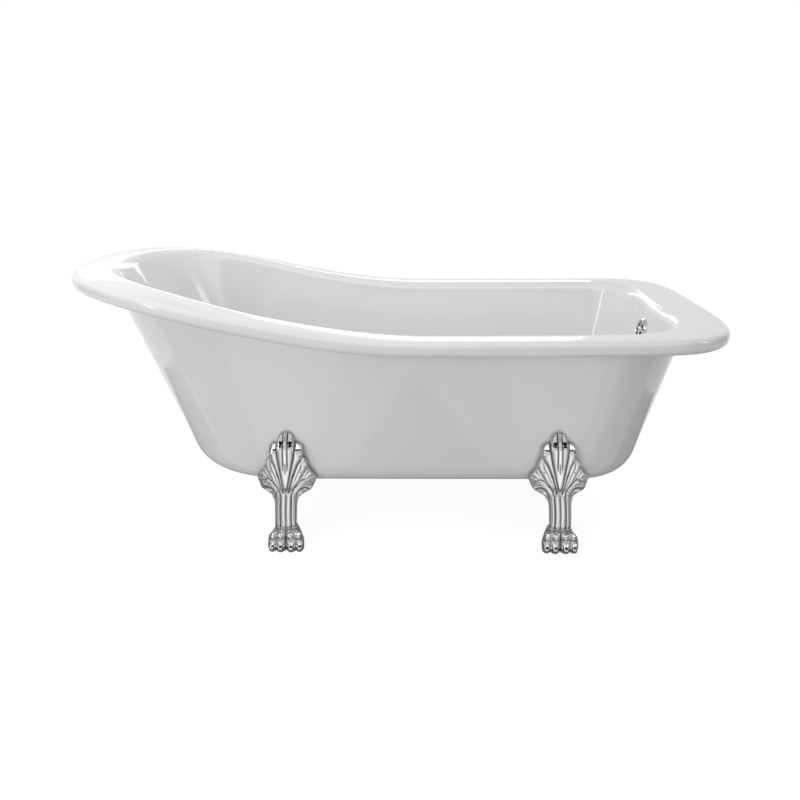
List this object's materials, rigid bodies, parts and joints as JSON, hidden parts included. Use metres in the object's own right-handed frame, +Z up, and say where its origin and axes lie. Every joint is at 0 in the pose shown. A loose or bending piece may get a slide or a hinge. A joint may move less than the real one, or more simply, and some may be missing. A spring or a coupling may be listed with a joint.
{
  "type": "clawfoot slipper bathtub",
  "caption": "Freestanding double-skinned slipper bathtub with one raised end, a rolled rim, cast claw feet with levelling glides, an overflow and a pop-up waste.",
  "frame": {"origin": "on the floor, under the middle of the overall length and width", "axes": "+Z up, +X from the raised head end to the waste end, +Y from the side nearest the viewer to the far side"},
  "size_m": [1.7, 0.75, 0.7554],
  "materials": {
    "acrylic": "gloss",
    "foot_chrome": "polished",
    "fitting_chrome": "polished",
    "board": "matte",
    "rubber": "matte",
    "nylon": "matte",
    "steel": "satin",
    "brass": "satin",
    "hose": "matte"
  },
  "bodies": {
    "bath": {"inner_skin": "acrylic", "outer_skin": "acrylic", "baseboard": "board", "bearer_head": "board", "bearer_middle": "board", "bearer_tap": "board", "foot_front_head": "foot_chrome", "foot_pad_front_head": "rubber", "foot_front_tap": "foot_chrome", "foot_pad_front_tap": "rubber", "foot_rear_head": "foot_chrome", "foot_pad_rear_head": "rubber", "foot_rear_tap": "foot_chrome", "foot_pad_rear_tap": "rubber", "foot_bolts": "steel", "foot_washers": "steel", "board_inserts": "brass", "plug_guide": "brass", "waste_flange": "fitting_chrome", "overflow_cover": "fitting_chrome", "overflow_screw": "fitting_chrome", "waste_seal": "rubber", "waste_gasket": "rubber", "overflow_gasket": "rubber", "waste_body": "nylon", "overflow_elbow": "nylon", "overflow_hose": "hose"},
    "glide_front_head": {"glide_pad_front_head": "nylon", "glide_stud_front_head": "steel"},
    "glide_front_tap": {"glide_pad_front_tap": "nylon", "glide_stud_front_tap": "steel"},
    "glide_rear_head": {"glide_pad_rear_head": "nylon", "glide_stud_rear_head": "steel"},
    "glide_rear_tap": {"glide_pad_rear_tap": "nylon", "glide_stud_rear_tap": "steel"},
    "plug": {"plug_cap": "fitting_chrome", "plug_seal": "rubber", "plug_stem": "brass"}
  },
  "joints": [
    {"name": "glide_front_head_screw", "type": "slide", "parent": "bath", "child": "glide_front_head", "axis": [0, 0, -1], "range_m": [0, 0.012]},
    {"name": "glide_front_tap_screw", "type": "slide", "parent": "bath", "child": "glide_front_tap", "axis": [0, 0, -1], "range_m": [0, 0.012]},
    {"name": "glide_rear_head_screw", "type": "slide", "parent": "bath", "child": "glide_rear_head", "axis": [0, 0, -1], "range_m": [0, 0.012]},
    {"name": "glide_rear_tap_screw", "type": "slide", "parent": "bath", "child": "glide_rear_tap", "axis": [0, 0, -1], "range_m": [0, 0.012]},
    {"name": "plug_lift", "type": "slide", "parent": "bath", "child": "plug", "axis": [0, 0, 1], "range_m": [0, 0.008]}
  ]
}
